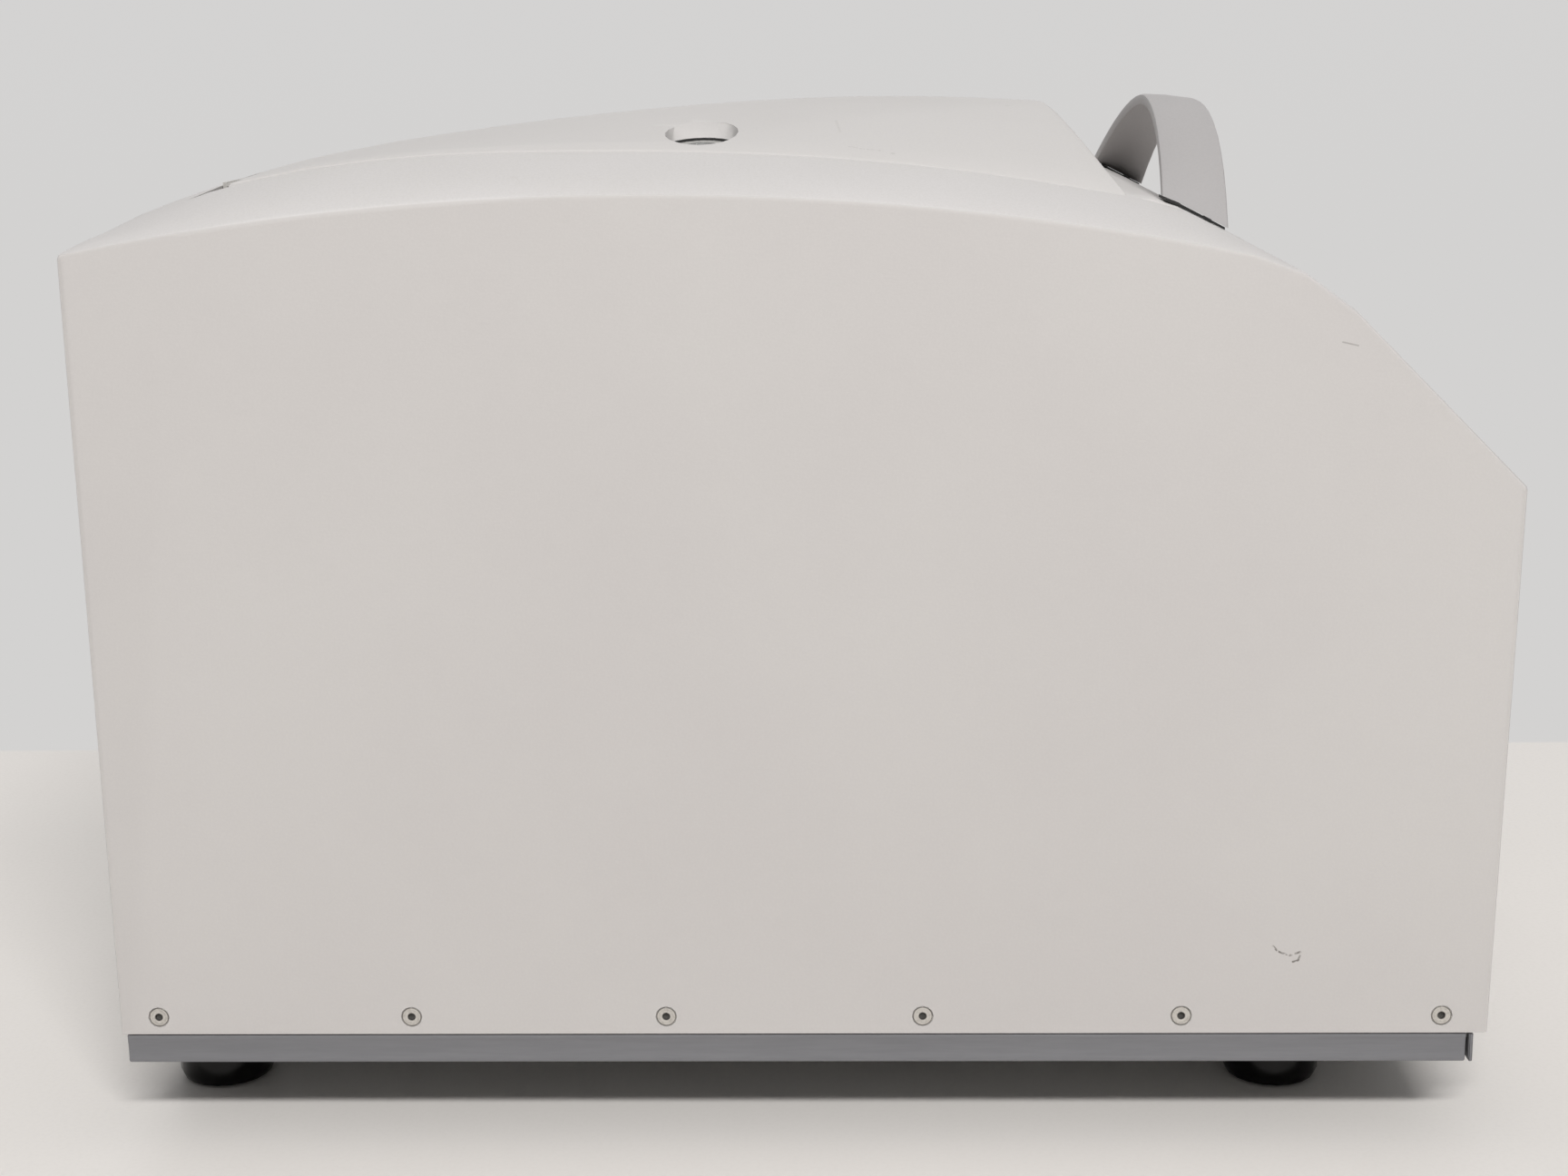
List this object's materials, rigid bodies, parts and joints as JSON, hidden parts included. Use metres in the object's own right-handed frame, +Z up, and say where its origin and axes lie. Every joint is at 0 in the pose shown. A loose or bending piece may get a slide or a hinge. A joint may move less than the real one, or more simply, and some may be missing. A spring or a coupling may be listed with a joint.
{
  "type": "benchtop centrifuge",
  "caption": "Benchtop centrifuge with a moulded hood, a domed lid on a rear hinge with a bow handle and sight port, and a swing-out rotor in a steel chamber",
  "frame": {"origin": "On the bench, under the middle of the machine's overall box", "axes": "+Z up, +Y from the control slope to the rear panel, +X to the right as seen from the front"},
  "size_m": [0.5, 0.6508, 0.4786],
  "materials": {
    "hood": "light warm grey, fine texture",
    "lid": "light warm grey, fine texture",
    "liner": "light grey, fine texture",
    "handle": "grey, satin",
    "rail": "mid grey powder coat",
    "pan": "zinc plated",
    "foot": "glossy black",
    "screw": "dark zinc",
    "steel": "turned",
    "hinge": "light grey, satin",
    "bowl": "brushed stainless",
    "guard": "rolled plate",
    "seal": "matt black",
    "gasket": "matt black",
    "port_glass": "smoked clear",
    "aluminium": "machined",
    "rotor": "anodised, satin",
    "bucket": "anodised, satin",
    "knob": "black",
    "motor": "black enamel",
    "fascia": "dark grey film",
    "display": "dark window",
    "key": "grey, soft",
    "board": "green laminate",
    "panel": "grey powder coat",
    "fan": "black",
    "inlet": "black",
    "rocker": "black"
  },
  "bodies": {
    "machine": {"hood": "hood", "base_rail_left": "rail", "base_rail_right": "rail", "base_rail_front": "rail", "base_rail_rear": "rail", "base_pan": "pan", "foot_front_left": "foot", "foot_front_right": "foot", "foot_rear_left": "foot", "foot_rear_right": "foot", "flank_screw_left_1": "screw", "flank_screw_left_2": "screw", "flank_screw_left_3": "screw", "flank_screw_left_4": "screw", "flank_screw_left_5": "screw", "flank_screw_left_6": "screw", "flank_screw_right_1": "screw", "flank_screw_right_2": "screw", "flank_screw_right_3": "screw", "flank_screw_right_4": "screw", "flank_screw_right_5": "screw", "flank_screw_right_6": "screw", "hinge_leaf_fixed": "hinge", "lock_frame": "aluminium", "chamber_bowl": "bowl", "bowl_seal": "seal", "guard_ring": "guard", "motor": "motor", "motor_plate": "pan", "drive_inverter": "aluminium", "control_fascia": "fascia", "display_glass": "display", "control_board": "board", "rear_panel": "panel", "fan_frame": "fan", "mains_inlet": "inlet", "switch_frame": "inlet"},
    "lid": {"lid_shell": "lid", "lid_liner": "liner", "port_glass": "port_glass", "port_gasket": "gasket", "lid_handle": "handle", "handle_gasket_left": "gasket", "handle_gasket_right": "gasket", "lid_striker": "steel", "hinge_leaf_lid": "hinge"},
    "bolt": {"lock_bolt": "steel"},
    "rotor": {"rotor": "rotor", "drive_spindle": "steel", "rotor_nut": "knob"},
    "bucket_1": {"bucket_1": "bucket"},
    "bucket_2": {"bucket_2": "bucket"},
    "bucket_3": {"bucket_3": "bucket"},
    "bucket_4": {"bucket_4": "bucket"},
    "impeller": {"fan_impeller": "fan"},
    "rocker": {"switch_rocker": "rocker"},
    "key_start": {"key_start": "key"},
    "key_stop": {"key_stop": "key"},
    "key_lid": {"key_lid": "key"},
    "key_set": {"key_set": "key"}
  },
  "joints": [
    {"name": "lid_hinge", "type": "hinge", "parent": "machine", "child": "lid", "pos_m": [0, 0.2705, 0.44], "axis": [-1, 0, 0], "range_deg": [0, 75]},
    {"name": "lock_bolt_slide", "type": "slide", "parent": "machine", "child": "bolt", "axis": [0, 1, 0], "range_m": [0, 0.012]},
    {"name": "rotor_spin", "type": "hinge", "parent": "machine", "child": "rotor", "pos_m": [0, 0.05, 0.33], "axis": [0, 0, 1], "continuous": true},
    {"name": "bucket_1_swing", "type": "hinge", "parent": "rotor", "child": "bucket_1", "pos_m": [0.088, 0.05, 0.33], "axis": [0, -1, 0], "range_deg": [0, 90]},
    {"name": "bucket_2_swing", "type": "hinge", "parent": "rotor", "child": "bucket_2", "pos_m": [0, 0.138, 0.33], "axis": [1, 0, 0], "range_deg": [0, 90]},
    {"name": "bucket_3_swing", "type": "hinge", "parent": "rotor", "child": "bucket_3", "pos_m": [-0.088, 0.05, 0.33], "axis": [0, 1, 0], "range_deg": [0, 90]},
    {"name": "bucket_4_swing", "type": "hinge", "parent": "rotor", "child": "bucket_4", "pos_m": [0, -0.038, 0.33], "axis": [-1, 0, 0], "range_deg": [0, 90]},
    {"name": "fan_spin", "type": "hinge", "parent": "machine", "child": "impeller", "pos_m": [-0.08, 0.3078, 0.19], "axis": [0, 1, 0], "continuous": true},
    {"name": "mains_rocker", "type": "hinge", "parent": "machine", "child": "rocker", "pos_m": [0.07, 0.3194, 0.262], "axis": [-1, 0, 0], "range_deg": [0, 16]},
    {"name": "key_start_press", "type": "slide", "parent": "machine", "child": "key_start", "axis": [0, 0.7108, -0.7034], "range_m": [0, 0.001], "stiffness_N_per_m": 800, "springref_m": -0.0005},
    {"name": "key_stop_press", "type": "slide", "parent": "machine", "child": "key_stop", "axis": [0, 0.7108, -0.7034], "range_m": [0, 0.001], "stiffness_N_per_m": 800, "springref_m": -0.0005},
    {"name": "key_lid_press", "type": "slide", "parent": "machine", "child": "key_lid", "axis": [0, 0.7108, -0.7034], "range_m": [0, 0.001], "stiffness_N_per_m": 800, "springref_m": -0.0005},
    {"name": "key_set_press", "type": "slide", "parent": "machine", "child": "key_set", "axis": [0, 0.7108, -0.7034], "range_m": [0, 0.001], "stiffness_N_per_m": 800, "springref_m": -0.0005}
  ]
}
